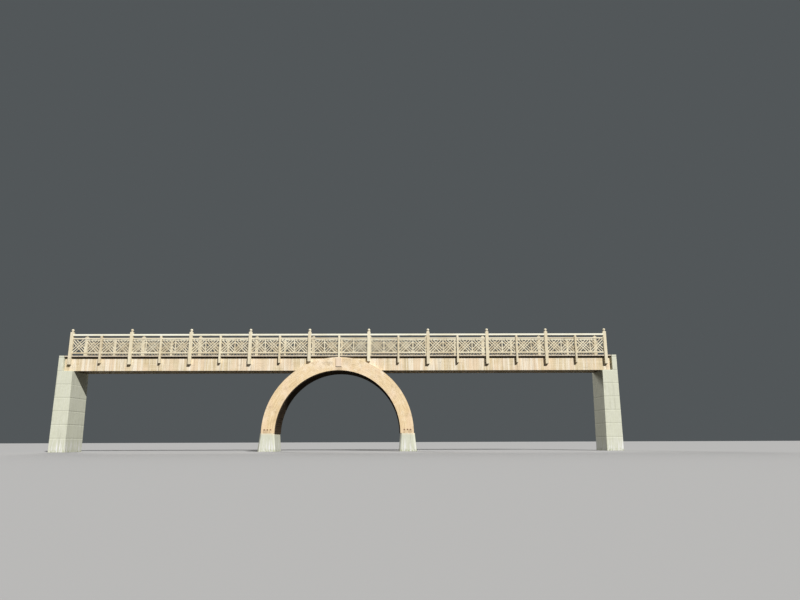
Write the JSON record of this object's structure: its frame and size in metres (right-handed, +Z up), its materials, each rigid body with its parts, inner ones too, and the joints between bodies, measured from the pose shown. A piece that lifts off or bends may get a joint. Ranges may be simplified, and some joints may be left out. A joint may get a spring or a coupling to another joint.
{
  "type": "timber moon bridge",
  "caption": "Level timber footbridge on a half-round laminated arch with concrete footings, side girders, plank deck and lattice railings with tall and short posts",
  "frame": {"origin": "middle of the bridge in plan, on the plane of the footings' undersides", "axes": "+X along the bridge to its right end as seen from the front, +Y from the front railing to the back railing, +Z up"},
  "size_m": [25.634, 1.58, 5.5557],
  "materials": {
    "concrete": "weathered cast concrete",
    "arch_timber": "laminated timber, oiled",
    "cover_timber": "weathered board",
    "soffit_timber": "dark weathered boards",
    "girder_timber": "laminated timber, streaked",
    "deck_timber": "weathered planks",
    "rail_timber": "pale weathered timber"
  },
  "bodies": {
    "root": {"left_footing": "concrete", "right_footing": "concrete", "left_abutment": "concrete", "right_abutment": "concrete", "front_left_rib": "arch_timber", "front_right_rib": "arch_timber", "back_left_rib": "arch_timber", "back_right_rib": "arch_timber", "front_crown_cover": "cover_timber", "back_crown_cover": "cover_timber", "left_soffit": "soffit_timber", "right_soffit": "soffit_timber", "arch_spreaders": "soffit_timber", "front_girder": "girder_timber", "back_girder": "girder_timber", "cross_blocks": "soffit_timber", "deck": "deck_timber", "front_tall_posts": "rail_timber", "front_short_posts": "rail_timber", "front_handrails": "rail_timber", "back_tall_posts": "rail_timber", "back_short_posts": "rail_timber", "back_handrails": "rail_timber", "front_lattice_1": "rail_timber", "front_lattice_2": "rail_timber", "front_lattice_3": "rail_timber", "front_lattice_4": "rail_timber", "front_lattice_5": "rail_timber", "front_lattice_6": "rail_timber", "front_lattice_7": "rail_timber", "front_lattice_8": "rail_timber", "front_lattice_9": "rail_timber", "back_lattice_1": "rail_timber", "back_lattice_2": "rail_timber", "back_lattice_3": "rail_timber", "back_lattice_4": "rail_timber", "back_lattice_5": "rail_timber", "back_lattice_6": "rail_timber", "back_lattice_7": "rail_timber", "back_lattice_8": "rail_timber", "back_lattice_9": "rail_timber"}
  },
  "joints": []
}
